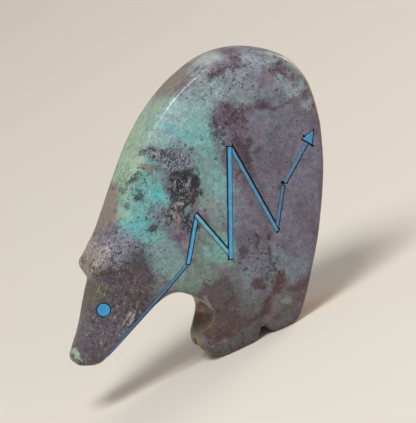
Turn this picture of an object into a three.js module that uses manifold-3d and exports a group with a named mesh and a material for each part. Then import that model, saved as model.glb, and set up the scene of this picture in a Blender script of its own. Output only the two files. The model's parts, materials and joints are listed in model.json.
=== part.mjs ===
// A standing bear carved from one slab of turquoise stone, with inlaid heartline arrows and eyes.
// Millimetres, +Z up. The bear faces -X and its left flank faces -Y.
// The origin is on the ground, below the middle of the bear.
import * as THREE from 'three';
import { ConvexHull } from 'three/addons/math/ConvexHull.js';
import { mergeVertices } from 'three/addons/utils/BufferGeometryUtils.js';
import Module from 'manifold-3d';

const wasm = await Module();
wasm.setup();

// Sizes of the carving
const BODY_LENGTH = 66;
const BODY_THICKNESS = 15.6;
const MUZZLE_THICKNESS = 9.2;
const SOLE_THICKNESS = 14.4;
const SOLE_TRIM = 0.3;
const EDGE_FULLNESS = 4;

// Sizes of the inlay
const INLAY_DEPTH = 0.8;
const INLAY_INNER_REACH = 2.6;
const GLUE_GAP = 0.2;
const EYE_DIAMETER = 2.8;
const EYE_FACETS = 14;
const ARROWHEAD_LENGTH = 2.8;
const ARROWHEAD_WIDTH = 2.4;

// Sizes of the cuts between the legs and the ears
const LEG_SLOT_WIDTH = 3.6;
const LEG_SLOT_HEIGHT = 5.5;
const CHEST_SCOOP_WIDTH = 17;
const CHEST_SCOOP_HEIGHT = 6.2;
const CHEST_SCOOP_DIAMETER = 9;
const CHEST_SCOOP_DEPTH = 1.3;
const CHEST_SCOOP_OFFSET = 2;
const TOE_GROOVE_DIAMETER = 4;
const TOE_GROOVE_DEPTH = 0.8;
const EAR_SADDLE_DIAMETER = 14;
const EAR_SADDLE_LENGTH = 12;
const EAR_SADDLE_DEPTH = 0.9;

// Fineness of the facets
const EDGE_STEP = 1.5;
const EDGE_STEP_SHARE = 0.75;
const EDGE_RINGS = 5;
const ROUNDING_SPREAD = 2;
const INNER_CLEARANCE = 0.6;
const MERGE_DISTANCE = 1e-4;
const RING_SKEW = 0.02;
const RING_CLEARANCE = 0.88;
const FLANK_STEP = 1.55;
const ROUND_SEGMENTS = 16;

// The bear's proportions are shares of its length, in hundredths.
const share = (hundredths) => (hundredths / 100) * BODY_LENGTH;
const place = ([along, up]) => new THREE.Vector2(share(along), share(up));

// Landmarks of the side outline, [along, up], with the rounding of the edge there.
// The strokes run from the brow over the back to the soles, the throat, the jaw and the nose.
const OUTLINE = [
  { rounding: 1.6, points: [[-34.3, 38.6], [-34.9, 40.6], [-35.1, 42.7], [-34.3, 44.3], [-32.6, 45.3]] },
  {
    rounding: 2.2,
    points: [[-32.6, 45.3], [-29.6, 47.4], [-24.7, 51.6], [-19.5, 56.9], [-12, 64.6], [-4.8, 71.4],
      [5.5, 78.4], [15.6, 82.6], [26.1, 84.6], [36.8, 82.4], [45.6, 76.3], [49.5, 68.4], [49.6, 60.2],
      [47.9, 52.2]],
  },
  {
    rounding: 1.5,
    points: [[47.9, 52.2], [42.7, 38.8], [33.9, 22.6], [24.3, 8.6], [19.7, 2.8], [17.6, 0.9], [15, 0]],
  },
  { rounding: 0.9, points: [[15, 0], [10, 0]] },
  { rounding: 1.2, points: [[10, 0], [7.9, 1.1], [6.1, 3.7]] },
  { rounding: 1.2, points: [[6.1, 3.7], [4.2, 1.4], [1.8, 0]] },
  { rounding: 0.9, points: [[1.8, 0], [-7, 0]] },
  {
    rounding: 1.7,
    points: [[-7, 0], [-9.7, 0.9], [-12.1, 3.1], [-13.3, 6.1], [-12.5, 8.9], [-9.9, 11.9], [-7.4, 15.2],
      [-7.2, 18.6], [-9.2, 21.4], [-12.3, 24.2], [-16.1, 25.2], [-21.2, 23.8]],
  },
  { rounding: 3, points: [[-21.2, 23.8], [-31.2, 19.4], [-42.4, 15.2]] },
  { rounding: 1.2, points: [[-42.4, 15.2], [-44.4, 15.2], [-48.8, 17.1], [-49.9, 18.3], [-49.2, 20.2]] },
  { rounding: 1.8, points: [[-49.2, 20.2], [-43.3, 26], [-38, 33.2], [-34.3, 38.6]] },
];

// The head thins from the neck to the nose, and the legs from the belly to the soles.
const NECK = [-17, 38];
const NOSE = [-45, 19];
const HEAD_TAPER = { from: -0.35, to: 1.15 };
const BELLY_HEIGHT = 22;

// Soft forms of the flank along a line, with their half width and their height as shares too.
const FLANK_FORMS = [
  { name: 'brow groove', from: [-33, 38.5], to: [-25.5, 37.6], halfWidth: 4.2, height: -0.9 },
  { name: 'ear', from: [-32, 43.4], to: [-27.5, 45.6], halfWidth: 4.6, height: 0.9 },
  { name: 'hollow between the legs', from: [6.1, 2], to: [12.5, 11], halfWidth: 5.5, height: -0.6 },
];

// The flat of the flank begins behind the head and above the legs.
const FLAT_FROM = [-8, 24];

// The saddle between the ears crosses the ridge square to the line from nape to forehead.
const EAR_RIDGE = [-34.4, 44.1];
const NAPE = [-24.7, 51.6];
const FOREHEAD = [-38, 33.2];

// The scoop goes into the chest here, and the groove runs down between the toes from here.
const CHEST = [-7.1, 14.5];
const TOES = [-13.3, 6.1];

// The right toe is worn off below this line.
const TOE_WEAR = { front: [-13.4, 5.4], back: [-6.8, 0.2] };

// The slot between the legs begins here, behind the toes.
const SLOT_FRONT = [-7, 0];

// The heartline's corners, from the mouth to the arrow. The falling bars end just beside the second rise.
const HEARTLINE = {
  mouth: [-43.6, 15],
  bend: [-7, 32.4],
  peak_1: [1.1, 44.1],
  fall_1_foot: [5.5, 28.9],
  valley_1: [5.5, 28.1],
  peak_2: [18.7, 58.1],
  fall_2_top: [19.2, 57.9],
  valley_2: [21.7, 29.4],
  break_low: [28.8, 40.3],
  break_high: [30.4, 41.5],
  arrow_base: [41.2, 49.4],
};
const EYE = [-35.9, 30.3];

// The bars in the order in which they were laid. A later bar stops against an earlier one.
const LEFT_BARS = [
  { name: 'rise_2', from: 'valley_1', to: 'peak_2', width: 0.7 },
  { name: 'fall_1', from: 'peak_1', to: 'fall_1_foot', width: 0.68 },
  { name: 'rise_1', from: 'bend', to: 'peak_1', width: 0.63 },
  { name: 'jaw', from: 'mouth', to: 'bend', width: 0.56 },
  { name: 'fall_2', from: 'fall_2_top', to: 'valley_2', width: 0.6 },
  { name: 'rise_3', from: 'valley_2', to: 'break_low', width: 0.55 },
  { name: 'shaft', from: 'break_high', to: 'arrow_base', width: 0.63 },
];
const RIGHT_BARS = [
  ...LEFT_BARS.slice(0, 5),
  { name: 'shaft', from: 'valley_2', to: 'arrow_base', width: 0.63 },
];

// Samples the strokes into one closed outline and spreads the rounding evenly along it.
function outlineSamples() {
  const samples = [];
  for (const stroke of OUTLINE) {
    const route = stroke.points.length > 2
      ? new THREE.SplineCurve(stroke.points.map(place))
      : new THREE.LineCurve(...stroke.points.map(place));
    const step = Math.min(EDGE_STEP, EDGE_STEP_SHARE * stroke.rounding);
    const steps = Math.max(1, Math.ceil(route.getLength() / step));
    for (const point of route.getSpacedPoints(steps).slice(0, steps)) {
      samples.push({ point, rounding: stroke.rounding });
    }
  }
  const box = new THREE.Box2().setFromPoints(samples.map((sample) => sample.point));
  const middle = new THREE.Vector2((box.min.x + box.max.x) / 2, box.min.y + SOLE_TRIM);
  return samples.map((sample, index) => {
    let total = 0;
    for (let offset = -ROUNDING_SPREAD; offset <= ROUNDING_SPREAD; offset += 1) {
      total += samples[(index + offset + samples.length) % samples.length].rounding;
    }
    return { point: sample.point.clone().sub(middle), rounding: total / (2 * ROUNDING_SPREAD + 1), middle };
  });
}

const SAMPLES = outlineSamples();
const CORNERS = SAMPLES.map((sample) => sample.point);
const MIDDLE = SAMPLES[0].middle;
const placed = (landmark) => place(landmark).sub(MIDDLE);

function isInside(spot) {
  let inside = false;
  CORNERS.forEach((start, index) => {
    const end = CORNERS[(index + 1) % CORNERS.length];
    const crosses = (start.y > spot.y) !== (end.y > spot.y);
    if (crosses && spot.x < start.x + ((spot.y - start.y) / (end.y - start.y)) * (end.x - start.x)) {
      inside = !inside;
    }
  });
  return inside;
}

// Distance to the outline, positive inside it, and the rounding of the nearest edge.
function edgeAt(spot) {
  const nearest = { distance: Infinity, rounding: 0 };
  const line = new THREE.Line3();
  const here = new THREE.Vector3(spot.x, spot.y, 0);
  const foot = new THREE.Vector3();
  CORNERS.forEach((start, index) => {
    const end = CORNERS[(index + 1) % CORNERS.length];
    line.start.set(start.x, start.y, 0);
    line.end.set(end.x, end.y, 0);
    line.closestPointToPoint(here, true, foot);
    const distance = foot.distanceTo(here);
    if (distance < nearest.distance) {
      nearest.distance = distance;
      nearest.rounding = SAMPLES[index].rounding;
    }
  });
  return { distance: isInside(spot) ? nearest.distance : -nearest.distance, rounding: nearest.rounding };
}

const smooth = THREE.MathUtils.smoothstep;
const mix = THREE.MathUtils.lerp;

// How much of a soft form is felt at a spot: all of it on its line and nothing past its half width.
function alongLine(spot, { from, to, halfWidth }) {
  const start = placed(from);
  const end = placed(to);
  const line = new THREE.Line3(new THREE.Vector3(start.x, start.y, 0), new THREE.Vector3(end.x, end.y, 0));
  const here = new THREE.Vector3(spot.x, spot.y, 0);
  const foot = line.closestPointToPoint(here, true, new THREE.Vector3());
  return 1 - smooth(foot.distanceTo(here), 0, share(halfWidth));
}

// Half the thickness of the stone under a spot of the flank, away from its rounded edge.
function halfThickness(spot) {
  const neck = placed(NECK);
  const headLine = placed(NOSE).sub(neck);
  const towardNose = spot.clone().sub(neck).dot(headLine) / headLine.lengthSq();
  const headShare = smooth(towardNose, HEAD_TAPER.from, HEAD_TAPER.to);
  const legShare = 1 - smooth(spot.y, 0, share(BELLY_HEIGHT));
  const thinning = legShare * (BODY_THICKNESS - SOLE_THICKNESS);
  const slab = mix(BODY_THICKNESS, MUZZLE_THICKNESS, headShare) - thinning;
  return FLANK_FORMS.reduce((half, form) => half + share(form.height) * alongLine(spot, form), slab / 2);
}

// The flat of the flank needs few points. The head and the legs change in thickness and need more.
function isFlat(spot) {
  const corner = placed(FLAT_FROM);
  return spot.x > corner.x && spot.y > corner.y;
}

// The points of one flank: the outline, rings that follow it inward, and an even spread between them.
// The plan positions are spread evenly for the mesh, and the real ones follow the rounded edge.
function flankPoints() {
  const points = CORNERS.map((corner) => ({ plan: corner, real: corner, half: 0 }));
  const count = CORNERS.length;
  const normals = CORNERS.map((corner, index) => {
    const before = CORNERS[(index + count - 1) % count];
    const along = CORNERS[(index + 1) % count].clone().sub(before).normalize();
    return new THREE.Vector2(along.y, -along.x);
  });
  for (let ring = 1; ring <= EDGE_RINGS; ring += 1) {
    const turn = (ring / EDGE_RINGS) * (Math.PI / 2);
    const inward = ring < EDGE_RINGS ? 1 - Math.cos(turn) ** (2 / EDGE_FULLNESS) : 1;
    const outward = Math.sin(turn) ** (2 / EDGE_FULLNESS);
    CORNERS.forEach((corner, index) => {
      const next = (index + 1) % count;
      const origin = corner.clone().lerp(CORNERS[next], ring * RING_SKEW);
      const normal = normals[index].clone().lerp(normals[next], ring * RING_SKEW).normalize();
      const rounding = mix(SAMPLES[index].rounding, SAMPLES[next].rounding, ring * RING_SKEW);
      const depth = rounding * (ring / EDGE_RINGS);
      const plan = origin.clone().addScaledVector(normal, depth);
      if (edgeAt(plan).distance > RING_CLEARANCE * depth) {
        const real = origin.clone().addScaledVector(normal, rounding * inward);
        points.push({ plan, real, half: outward * halfThickness(real) });
      }
    });
  }
  const box = new THREE.Box2().setFromPoints(CORNERS);
  const rowStep = FLANK_STEP * Math.sqrt(0.75);
  const rows = Math.ceil((box.max.y - box.min.y) / rowStep);
  const columns = Math.ceil((box.max.x - box.min.x) / FLANK_STEP);
  for (let row = 0; row < rows; row += 1) {
    for (let column = 0; column < columns; column += 1) {
      const along = box.min.x + (column + (row % 2) / 2) * FLANK_STEP;
      const spot = new THREE.Vector2(along, box.min.y + row * rowStep);
      const edge = edgeAt(spot);
      const spare = isFlat(spot) && (row % 2 === 1 || (column + row / 2) % 2 !== 0);
      if (!spare && edge.distance > edge.rounding + INNER_CLEARANCE * FLANK_STEP) {
        points.push({ plan: spot, real: spot, half: halfThickness(spot) });
      }
    }
  }
  return points;
}

// Joins the points of a flank into triangles: the lower hull of the points lifted onto a bowl.
function flankTriangles(points) {
  const centre = placed(NECK);
  const lifted = points.map(({ plan }) => {
    const spot = plan.clone().sub(centre);
    return new THREE.Vector3(spot.x, spot.y, spot.lengthSq() / BODY_LENGTH);
  });
  const order = new Map(lifted.map((point, index) => [point, index]));
  const triangles = [];
  for (const face of new ConvexHull().setFromPoints(lifted).faces) {
    const edges = [face.getEdge(0), face.getEdge(1), face.getEdge(2)];
    const corners = edges.map((edge) => order.get(edge.head().point));
    const [first, second, third] = corners.map((index) => points[index].plan);
    const heart = first.clone().add(second).add(third).divideScalar(3);
    if (face.normal.z < 0 && isInside(heart)) {
      const turn = (second.x - first.x) * (third.y - first.y) - (third.x - first.x) * (second.y - first.y);
      triangles.push(turn > 0 ? corners : [corners[0], corners[2], corners[1]]);
    }
  }
  return triangles;
}

// The stone before any cut: two like flanks joined along the outline.
function slabGeometry() {
  const points = flankPoints();
  const triangles = flankTriangles(points);
  const positions = [];
  const indices = [];
  for (const side of [-1, 1]) {
    for (const { real, half } of points) {
      positions.push(real.x, side * half, real.y);
    }
  }
  for (const [first, second, third] of triangles) {
    indices.push(first, second, third);
    indices.push(points.length + first, points.length + third, points.length + second);
  }
  const geometry = new THREE.BufferGeometry();
  geometry.setAttribute('position', new THREE.Float32BufferAttribute(positions, 3));
  geometry.setIndex(indices);
  return geometry;
}

function solidOf(geometry) {
  const bare = geometry.clone();
  bare.deleteAttribute('normal');
  bare.deleteAttribute('uv');
  const merged = mergeVertices(bare, MERGE_DISTANCE);
  return new wasm.Manifold(new wasm.Mesh({
    numProp: 3,
    vertProperties: new Float32Array(merged.attributes.position.array),
    triVerts: new Uint32Array(merged.index.array),
  }));
}

function geometryOf(solid) {
  const mesh = solid.getMesh();
  const geometry = new THREE.BufferGeometry();
  geometry.setAttribute('position', new THREE.Float32BufferAttribute(mesh.vertProperties, 3));
  geometry.setIndex(Array.from(mesh.triVerts));
  geometry.computeVertexNormals();
  return geometry;
}

// A prism over a shape of the side view, from an inner plane out past one flank.
// Side -1 is the left flank and side 1 the right one.
function flankPrism(corners, side, inner = INLAY_INNER_REACH) {
  const reach = BODY_THICKNESS;
  const outline = new THREE.Shape(corners);
  const geometry = new THREE.ExtrudeGeometry(outline, { depth: reach, bevelEnabled: false });
  geometry.rotateX(Math.PI / 2);
  geometry.translate(0, side > 0 ? inner + reach : -inner, 0);
  return solidOf(geometry);
}

// The corners of a straight bar of the heartline, made wider and longer all round by a margin.
function barCorners(start, end, width, margin) {
  const along = end.clone().sub(start).normalize();
  const across = new THREE.Vector2(-along.y, along.x).multiplyScalar(width / 2 + margin);
  const past = along.clone().multiplyScalar(width / 2 + margin);
  const first = start.clone().sub(past);
  const last = end.clone().add(past);
  const low = [first, last].map((spot) => spot.clone().sub(across));
  const high = [last, first].map((spot) => spot.clone().add(across));
  return [...low, ...high];
}

function arrowheadCorners(margin) {
  const from = placed(HEARTLINE.break_high);
  const base = placed(HEARTLINE.arrow_base);
  const along = base.clone().sub(from).normalize();
  const across = new THREE.Vector2(-along.y, along.x);
  const slant = Math.hypot(ARROWHEAD_LENGTH, ARROWHEAD_WIDTH / 2) / (ARROWHEAD_WIDTH / 2);
  const tip = base.clone().addScaledVector(along, ARROWHEAD_LENGTH + margin * slant);
  const wing = ARROWHEAD_WIDTH / 2 + margin * (slant + ARROWHEAD_WIDTH / 2 / ARROWHEAD_LENGTH);
  const heel = base.clone().addScaledVector(along, -margin);
  return [heel.clone().addScaledVector(across, wing), heel.clone().addScaledVector(across, -wing), tip];
}

function eyeCorners(margin) {
  const centre = placed(EYE);
  const radius = EYE_DIAMETER / 2 + margin;
  return Array.from({ length: EYE_FACETS }, (unused, index) => {
    const turn = (index / EYE_FACETS) * 2 * Math.PI;
    return new THREE.Vector2(centre.x + radius * Math.cos(turn), centre.y + radius * Math.sin(turn));
  });
}

// The pieces laid into one flank, in their order, each as a function of the margin around it.
function inlayShapes(bars) {
  const shapes = [{ name: 'arrowhead', corners: arrowheadCorners }];
  for (const bar of bars) {
    const start = placed(HEARTLINE[bar.from]);
    const end = placed(HEARTLINE[bar.to]);
    shapes.push({ name: bar.name, corners: (margin) => barCorners(start, end, bar.width, margin) });
  }
  shapes.push({ name: 'eye', corners: eyeCorners });
  return shapes;
}

// A straight cutter of an arched section that runs along X, open towards the ground.
function archCutter(width, height, fromX, toX) {
  const belowGround = -width;
  const arch = new THREE.Shape();
  arch.moveTo(-width / 2, belowGround);
  arch.lineTo(width / 2, belowGround);
  arch.lineTo(width / 2, height - width / 2);
  arch.absarc(0, height - width / 2, width / 2, 0, Math.PI, false);
  const settings = { depth: toX - fromX, bevelEnabled: false, curveSegments: ROUND_SEGMENTS / 2 };
  const geometry = new THREE.ExtrudeGeometry(arch, settings);
  geometry.rotateX(Math.PI / 2);
  geometry.rotateZ(Math.PI / 2);
  geometry.translate(fromX, 0, 0);
  return solidOf(geometry);
}

// A round bar that lies between two places of the middle plane.
function roundCutter(from, to, diameter) {
  const length = from.distanceTo(to);
  const geometry = new THREE.CapsuleGeometry(diameter / 2, length, ROUND_SEGMENTS / 4, ROUND_SEGMENTS);
  const upright = new THREE.Vector3(0, 1, 0);
  const direction = new THREE.Vector3(to.x - from.x, 0, to.y - from.y).normalize();
  geometry.applyQuaternion(new THREE.Quaternion().setFromUnitVectors(upright, direction));
  geometry.translate((from.x + to.x) / 2, 0, (from.y + to.y) / 2);
  return solidOf(geometry);
}

// The round scoop across the chest, nearer to the left flank than to the right one.
function chestScoop() {
  const chest = placed(CHEST);
  const geometry = new THREE.SphereGeometry(CHEST_SCOOP_DIAMETER / 2, 2 * ROUND_SEGMENTS, ROUND_SEGMENTS);
  geometry.scale(1, CHEST_SCOOP_WIDTH / CHEST_SCOOP_DIAMETER, CHEST_SCOOP_HEIGHT / CHEST_SCOOP_DIAMETER);
  geometry.translate(chest.x + CHEST_SCOOP_DEPTH - CHEST_SCOOP_DIAMETER / 2, -CHEST_SCOOP_OFFSET, chest.y);
  return solidOf(geometry);
}

// The groove between the toes, from the ground to the top of the feet.
function toeGroove() {
  const toes = placed(TOES);
  const along = toes.x + TOE_GROOVE_DEPTH - TOE_GROOVE_DIAMETER / 2;
  return roundCutter(new THREE.Vector2(along, toes.y), new THREE.Vector2(along, 0), TOE_GROOVE_DIAMETER);
}

// What is worn off under the right toe, from the middle plane outward.
function wornToe() {
  const front = placed(TOE_WEAR.front);
  const back = placed(TOE_WEAR.back);
  const below = new THREE.Vector2(back.x, -LEG_SLOT_HEIGHT);
  const before = new THREE.Vector2(front.x - LEG_SLOT_HEIGHT, -LEG_SLOT_HEIGHT);
  const ahead = new THREE.Vector2(front.x - LEG_SLOT_HEIGHT, front.y);
  return flankPrism([front, back, below, before, ahead], 1, 0);
}

// The ground, which trims the soles flat.
function groundBlock() {
  const geometry = new THREE.BoxGeometry(2 * BODY_LENGTH, 2 * BODY_THICKNESS, BODY_THICKNESS);
  geometry.translate(0, 0, -BODY_THICKNESS / 2);
  return solidOf(geometry);
}

// The stone with flat soles, and its cuts between the legs, across the chest, at the toes and at the ears.
function carvedStone() {
  let stone = solidOf(slabGeometry()).subtract(groundBlock());
  const slotFront = placed(SLOT_FRONT).x;
  stone = stone.subtract(archCutter(LEG_SLOT_WIDTH, LEG_SLOT_HEIGHT, slotFront, BODY_LENGTH / 2));
  stone = stone.subtract(chestScoop()).subtract(toeGroove()).subtract(wornToe());
  const crossing = placed(NAPE).sub(placed(FOREHEAD)).normalize();
  const outward = new THREE.Vector2(-crossing.y, crossing.x);
  const saddle = placed(EAR_RIDGE).addScaledVector(outward, EAR_SADDLE_DIAMETER / 2 - EAR_SADDLE_DEPTH);
  const back = saddle.clone().addScaledVector(crossing, EAR_SADDLE_LENGTH / 2);
  const front = saddle.clone().addScaledVector(crossing, -EAR_SADDLE_LENGTH / 2);
  return stone.subtract(roundCutter(front, back, EAR_SADDLE_DIAMETER));
}

const STONE = { color: 0x7d8f8f, roughness: 0.35, metalness: 0 };
const INLAY = { color: 0x3fa9de, roughness: 0.3, metalness: 0 };

function namedMesh(name, solid, finish) {
  const mesh = new THREE.Mesh(geometryOf(solid), new THREE.MeshStandardMaterial(finish));
  mesh.name = name;
  return mesh;
}

// Cuts the channels of one flank and fills each with its piece, flush with the stone around it.
function inlaidFlank(stone, blank, side, label, bars) {
  const floor = (depth) => blank.translate([0, -side * depth, 0]);
  const pieces = [];
  let carved = stone;
  let earlier = null;
  for (const shape of inlayShapes(bars)) {
    let piece = flankPrism(shape.corners(0), side).intersect(blank).subtract(floor(INLAY_DEPTH));
    if (earlier) {
      piece = piece.subtract(earlier);
    }
    const grown = flankPrism(shape.corners(GLUE_GAP), side);
    earlier = earlier ? earlier.add(grown) : grown;
    carved = carved.subtract(grown.subtract(floor(INLAY_DEPTH + GLUE_GAP)));
    pieces.push(namedMesh(`${label}_${shape.name}`, piece, INLAY));
  }
  return { carved, pieces };
}

const fetish = new THREE.Group();
const blank = carvedStone();
const leftFlank = inlaidFlank(blank, blank, -1, 'left', LEFT_BARS);
const rightFlank = inlaidFlank(leftFlank.carved, blank, 1, 'right', RIGHT_BARS);
fetish.add(namedMesh('bear', rightFlank.carved, STONE), ...leftFlank.pieces, ...rightFlank.pieces);

export default fetish;
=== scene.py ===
"""A small standing bear carved from one slab of turquoise stone, with inlaid blue heartlines and eyes."""

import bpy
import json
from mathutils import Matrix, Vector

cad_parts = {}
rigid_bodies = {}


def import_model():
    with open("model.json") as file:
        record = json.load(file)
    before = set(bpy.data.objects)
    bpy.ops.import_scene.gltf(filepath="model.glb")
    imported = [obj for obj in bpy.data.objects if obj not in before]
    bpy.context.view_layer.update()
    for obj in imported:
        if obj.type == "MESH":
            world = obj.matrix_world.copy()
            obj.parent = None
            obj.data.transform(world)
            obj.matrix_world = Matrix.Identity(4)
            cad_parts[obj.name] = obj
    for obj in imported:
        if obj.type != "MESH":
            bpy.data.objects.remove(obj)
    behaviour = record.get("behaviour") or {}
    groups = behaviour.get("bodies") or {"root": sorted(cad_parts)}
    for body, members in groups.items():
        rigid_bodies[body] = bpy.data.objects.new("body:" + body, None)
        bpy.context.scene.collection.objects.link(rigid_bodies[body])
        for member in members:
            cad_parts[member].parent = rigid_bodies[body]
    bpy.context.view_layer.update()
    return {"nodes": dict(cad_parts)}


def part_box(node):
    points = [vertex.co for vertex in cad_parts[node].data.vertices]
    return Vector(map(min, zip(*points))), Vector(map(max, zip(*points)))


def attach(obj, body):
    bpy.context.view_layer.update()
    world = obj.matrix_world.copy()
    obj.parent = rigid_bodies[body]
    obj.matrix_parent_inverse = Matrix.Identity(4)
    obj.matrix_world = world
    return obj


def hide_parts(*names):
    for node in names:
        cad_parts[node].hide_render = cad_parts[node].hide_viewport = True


bl_info = {
    "name": "Stone bear with a heartline",
    "version": (1, 0, 0),
    "blender": (4, 5, 0),
    "location": "3D View > Sidebar > Stone Bear",
    "description": "Carves, inlays and polishes a small stone bear and sets it on a pale floor",
    "category": "Object",
}

import json
import math

import bmesh
import bpy
from bpy.props import FloatProperty, FloatVectorProperty, PointerProperty
from bpy.types import Operator, Panel, PropertyGroup
from mathutils import Matrix, Vector, noise

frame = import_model()

MM = 0.001
NEAR = -1
FAR = 1
MERGE_DISTANCE = 1e-6

# How far the channels' cutters reach out of the stone.
CUT_REACH = 6 * MM

# A wall's normal is level to within the first, two walls are one where their normals agree by the second,
# and a face looks into the stone where its normal is below the third.
LEVEL_NORMAL = 0.02
SAME_NORMAL = 0.999
INWARD_NORMAL = -0.05

# Before the stone is worn smooth, plugs wider than the glue by this share fill its sockets.
PLUG_SHARE = 1.25
WEAR_FACTOR = 0.5
WEAR_ROUNDS = 9

# The finer grinding waves are this many times as close, and this share as high. The soles stay flat.
FINE_WAVES = 4
FINE_SHARE = 0.22
SOLE_HEIGHT = 0.6 * MM

# Edges that turn by more than this stay sharp.
STONE_SHARP = math.radians(50)
INLAY_SHARP = math.radians(40)

# The eyes and arrowheads are cut a little small, so that more glue shows around them.
EYE_GLUE = 0.1 * MM
EYE_SHARE = 0.92
ARROW_SHARE = 0.9

# Facets of an inlay's floor that meet at less than this angle become one.
FLOOR_ANGLE = math.radians(2)

# How far the edges of the stone's patches crumble, in millimetres and at most as a share of a patch.
CRUMBLE_WIDTH = 0.8
CRUMBLE_SHARE = 0.45
SOFTEST_SHARE = 0.9

# The turn of the stone's streaks and scratches in the side view, in degrees.
STREAK_TURN = 60

# A round speck's full core as a share of its radius, and how softly their number is cut off.
SPECK_CORE = 0.4
SPECK_SPREAD = 0.08

# The stage: where the camera looks, its sensor in millimetres, the floor's sides and the world's light.
AIM = Vector((4.37, -0.93, 27.16)) * MM
SENSOR_WIDTH = 36
FLOOR_SIDES = 96
WORLD_TONE = (0.86, 0.87, 0.9, 1)
WORLD_STRENGTH = 0.34

# The lights: name, axes, direction, distance, width, height, power and tone. The camera's axes point right,
# up and to the camera.
LIGHTS = (
    ("key_light", "camera", (-0.55, 0.85, 0.9), 1.4, 0.6, 0.6, 15.5, (1, 0.97, 0.93)),
    ("front_light", "camera", (0.35, 0.1, 1), 1.8, 1.2, 1, 7.5, (0.96, 0.98, 1)),
    ("rim_light", "room", (0.9, 0.5, 0.32), 1.4, 0.6, 0.6, 10, (1, 0.84, 0.62)),
    ("low_light", "room", (-0.9, 0.5, 0.1), 1.2, 0.5, 0.5, 2.5, (1, 0.84, 0.62)),
)

# The pieces of a heartline from the mouth on, each with the name of its colour.
BAR_TONES = {"jaw": "dim", "rise_1": "bright", "fall_1": "green_blue", "rise_2": "bright", "fall_2": "soft",
             "rise_3": "dim", "shaft": "dim", "arrowhead": "deep"}
NEAR_INLAYS = tuple("left_" + bar for bar in BAR_TONES)
FAR_INLAYS = tuple("right_" + bar for bar in BAR_TONES if bar != "rise_3")
EYES = ("left_eye", "right_eye")
ALL_INLAYS = NEAR_INLAYS + FAR_INLAYS + EYES


def colour_property(name, description, red, green, blue):
    """A colour given as it looks on a screen, from 0 to 255."""
    default = tuple(screen_to_linear(value / 255) for value in (red, green, blue))
    return FloatVectorProperty(name=name, description=description, subtype="COLOR", size=3,
                               min=0, max=1, default=default)


def screen_to_linear(value):
    """The standard curve from a screen's value to the light that it gives."""
    if value <= 0.04045:
        return value / 12.92
    return ((value + 0.055) / 1.055) ** 2.4


def size_property(name, description, default, low, high):
    """A length given in millimetres."""
    return FloatProperty(name=name, description=description, default=default * MM, min=low * MM,
                         max=high * MM, unit="LENGTH", precision=5)


class StoneColours(PropertyGroup):
    """The colours of the bear's stone."""
    turquoise: colour_property("Turquoise", "Blue-green fields of the shoulder", 108, 163, 162)
    pale_turquoise: colour_property("Pale turquoise", "Paler field of the back", 132, 165, 167)
    deep_turquoise: colour_property("Deep turquoise", "Strongest blue-green spots", 84, 166, 174)
    pale_green: colour_property("Pale green", "Field's edge along the back", 154, 182, 155)
    grey_green: colour_property("Grey green", "Where the turquoise fades into the grey", 114, 143, 143)
    chest_green: colour_property("Chest green", "Dull green of the chest and throat", 104, 121, 113)
    mint: colour_property("Mint", "Palest patches of the crown", 134, 153, 152)
    pale_blue: colour_property("Pale blue", "Pale patches of the belly", 106, 118, 126)
    lilac: colour_property("Lilac", "Lilac of the rump and the neck", 102, 98, 114)
    slate: colour_property("Slate", "Blue-grey of the crown", 104, 108, 120)
    dark_slate: colour_property("Dark slate", "Dark blue-grey spots", 56, 58, 64)
    mauve: colour_property("Mauve", "Grey of the belly", 93, 87, 98)
    brown: colour_property("Brown", "Brown of the head and the forelegs", 75, 64, 65)
    # Umber is also laid as painted shade: toward the feet, in the brow groove, in the chest hollow and on the
    # muzzle tip.
    umber: colour_property("Umber", "Darkest brown spots", 70, 46, 45)
    warm_grey: colour_property("Warm grey", "Grey between the legs", 98, 95, 95)
    rust: colour_property("Rust", "Warm brown of the feet", 86, 62, 56)
    clay: colour_property("Clay", "Warm stains in the turquoise", 116, 102, 94)
    rose: colour_property("Rose", "Pinkish flecks", 138, 116, 110)
    tan: colour_property("Tan", "Worn tan of the nape and the back", 138, 123, 113)
    # A painted warm reflection: laid on the edges by their direction, in the chest hollow and on the toe.
    amber: colour_property("Amber", "Warm tint of the worn edges", 178, 132, 84)
    olive: colour_property("Olive", "Green-brown tints of the head", 94, 92, 72)
    foot_grey: colour_property("Foot grey", "Grey of the feet", 82, 86, 84)
    plum: colour_property("Plum", "Purple-brown patches of the rump", 101, 79, 95)
    dark_plum: colour_property("Dark plum", "Darker parts of those patches", 60, 44, 54)
    black: colour_property("Black", "Darkest patch, behind the shoulder", 20, 22, 30)
    # Cream is also laid as painted highlights: on the chin ledges, the ear, the chest hollow's rim and the
    # near toe.
    cream: colour_property("Cream", "Pale flecks in the dark patch", 170, 168, 168)
    # Partly the stone's palest colour, and partly painted light from above on the top edge.
    frost: colour_property("Frost", "Palest wear along the top edge", 176, 188, 182)
    # Partly the pale stone of the ear, and partly painted highlight on the ear and the brow.
    bone: colour_property("Bone", "Pale wear of the ears", 172, 162, 152)
    pale_lilac: colour_property("Pale lilac", "Palest lilac of the crown and the neck", 140, 144, 160)


class InlayColours(PropertyGroup):
    """The colours of the pieces laid into the bear."""
    bright: colour_property("Bright blue", "Bluest bars", 60, 145, 192)
    soft: colour_property("Soft blue", "Duller bars", 70, 128, 168)
    green_blue: colour_property("Green blue", "First falling bar", 92, 158, 178)
    deep: colour_property("Deep blue", "Arrowheads", 36, 124, 178)
    eye_blue: colour_property("Eye blue", "Eyes", 38, 142, 190)
    dim: colour_property("Dim blue", "Thin bars", 60, 108, 146)
    glue: colour_property("Glue", "Dark glue around each piece", 14, 15, 18)
    dusty_glue: colour_property("Dusty glue", "Where dust has settled on the glue", 44, 38, 38)


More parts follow.
